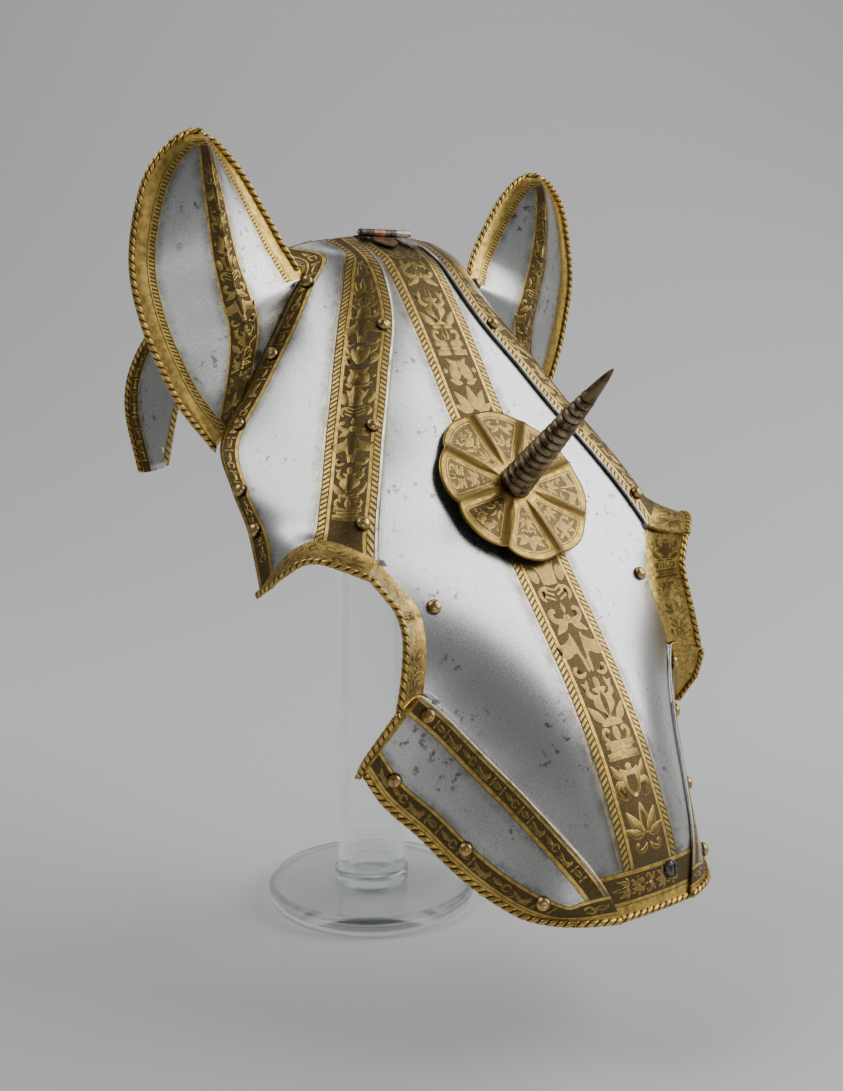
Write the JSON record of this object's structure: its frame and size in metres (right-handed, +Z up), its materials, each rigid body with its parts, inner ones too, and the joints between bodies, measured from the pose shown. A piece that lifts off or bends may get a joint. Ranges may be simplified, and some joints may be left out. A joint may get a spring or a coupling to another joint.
{
  "type": "horse head armour on a display stand",
  "caption": "Plate armour for a horse's face with ear guards, flanged eye openings, a hinged poll plate and a spiked rosette, on a clear post and round foot.",
  "frame": {"origin": "centre of the flat underside of the stand's round foot", "axes": "+Z up; the horse faces -Y; +X is the horse's left side"},
  "size_m": [0.388, 0.4661, 0.565],
  "materials": {
    "bright_steel": "worn bright steel with etched and gilt bands",
    "etched_gilt": "etched and gilt steel",
    "rivet_brass": "worn brass",
    "dark_bronze": "dark brown patina",
    "dark_iron": "dark iron, partly worn",
    "clear_acrylic": "clear polished acrylic"
  },
  "bodies": {
    "armour": {"cheek_plate_left": "bright_steel", "cheek_plate_right": "bright_steel", "ear_left": "bright_steel", "ear_right": "bright_steel", "hinge_front_leaf_a": "dark_iron", "hinge_front_leaf_b": "dark_iron", "hinge_pin": "dark_iron", "main_plate": "bright_steel", "nose_screw": "dark_iron", "rivet_band_lower_left": "rivet_brass", "rivet_band_lower_right": "rivet_brass", "rivet_band_middle_left": "rivet_brass", "rivet_band_middle_right": "rivet_brass", "rivet_band_upper_left": "rivet_brass", "rivet_band_upper_right": "rivet_brass", "rivet_cheek_front_left": "rivet_brass", "rivet_cheek_front_right": "rivet_brass", "rivet_cheek_lower_left": "rivet_brass", "rivet_cheek_lower_right": "rivet_brass", "rivet_cheek_rear_left": "rivet_brass", "rivet_cheek_rear_right": "rivet_brass", "rivet_cheek_upper_left": "rivet_brass", "rivet_cheek_upper_right": "rivet_brass", "rivet_eye_left": "rivet_brass", "rivet_eye_right": "rivet_brass", "rivet_rear_1_left": "rivet_brass", "rivet_rear_1_right": "rivet_brass", "rivet_rear_2_left": "rivet_brass", "rivet_rear_2_right": "rivet_brass", "rivet_rear_3_left": "rivet_brass", "rivet_rear_3_right": "rivet_brass", "rivet_rear_4_left": "rivet_brass", "rivet_rear_4_right": "rivet_brass", "rivet_rear_5_left": "rivet_brass", "rivet_rear_5_right": "rivet_brass", "rosette": "etched_gilt", "side_plate_left": "bright_steel", "side_plate_right": "bright_steel", "spike": "dark_bronze", "stand_base": "clear_acrylic", "stand_rest": "clear_acrylic", "stand_ring": "clear_acrylic", "stand_rod": "clear_acrylic"},
    "poll": {"poll_plate": "bright_steel", "hinge_rear_leaf_a": "dark_iron", "hinge_rear_leaf_b": "dark_iron"}
  },
  "joints": [
    {"name": "poll_hinge", "type": "hinge", "parent": "armour", "child": "poll", "pos_m": [0, -0.015, 0.5038], "axis": [1, 0, 0], "range_deg": [0, 70]}
  ]
}
